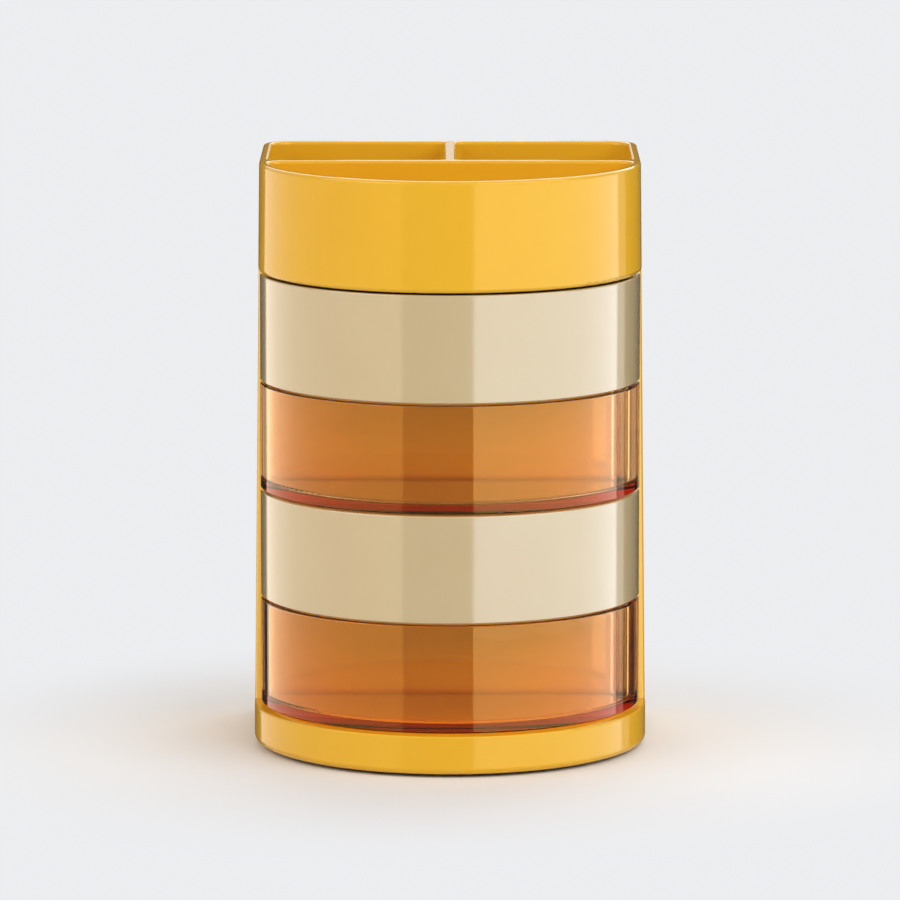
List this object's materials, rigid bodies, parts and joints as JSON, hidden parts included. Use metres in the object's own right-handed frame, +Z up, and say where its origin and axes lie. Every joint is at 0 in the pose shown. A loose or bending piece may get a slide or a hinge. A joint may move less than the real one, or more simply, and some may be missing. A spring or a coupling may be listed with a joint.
{
  "type": "desk organizer with swivelling drawers",
  "caption": "Desk pen stand with two pen wells, a clip bowl and half-round drawers that swing out on an upright pin.",
  "frame": {"origin": "centre of the footprint on the desk, under the pads", "axes": "+Z up, the drawers face -Y, the pivot pin stands on the +X side"},
  "size_m": [0.085, 0.085, 0.127],
  "materials": {
    "yellow_plastic": "glossy moulded plastic",
    "cream_plastic": "glossy moulded plastic",
    "amber_plastic": "clear tinted moulded plastic",
    "steel": "drawn steel",
    "nylon": "natural nylon",
    "rubber": "matte rubber"
  },
  "bodies": {
    "body": {"housing": "yellow_plastic", "base": "yellow_plastic", "pivot_pin": "steel", "washer_1": "nylon", "washer_2": "nylon", "washer_3": "nylon", "washer_4": "nylon", "washer_5": "nylon", "screws": "steel", "front_left_pad": "rubber", "front_right_pad": "rubber", "back_left_pad": "rubber", "back_right_pad": "rubber"},
    "bottom_drawer_body": {"bottom_drawer": "amber_plastic"},
    "lower_middle_drawer_body": {"lower_middle_drawer": "cream_plastic"},
    "upper_middle_drawer_body": {"upper_middle_drawer": "amber_plastic"},
    "top_drawer_body": {"top_drawer": "cream_plastic"}
  },
  "joints": [
    {"name": "bottom_drawer_swivel", "type": "hinge", "parent": "body", "child": "bottom_drawer_body", "pos_m": [0.03793, -0.0036, 0.0094], "axis": [0, 0, 1], "range_deg": [0, 105]},
    {"name": "lower_middle_drawer_swivel", "type": "hinge", "parent": "body", "child": "lower_middle_drawer_body", "pos_m": [0.03793, -0.0036, 0.0329], "axis": [0, 0, 1], "range_deg": [0, 105]},
    {"name": "upper_middle_drawer_swivel", "type": "hinge", "parent": "body", "child": "upper_middle_drawer_body", "pos_m": [0.03793, -0.0036, 0.0564], "axis": [0, 0, 1], "range_deg": [0, 105]},
    {"name": "top_drawer_swivel", "type": "hinge", "parent": "body", "child": "top_drawer_body", "pos_m": [0.03793, -0.0036, 0.0799], "axis": [0, 0, 1], "range_deg": [0, 105]}
  ]
}
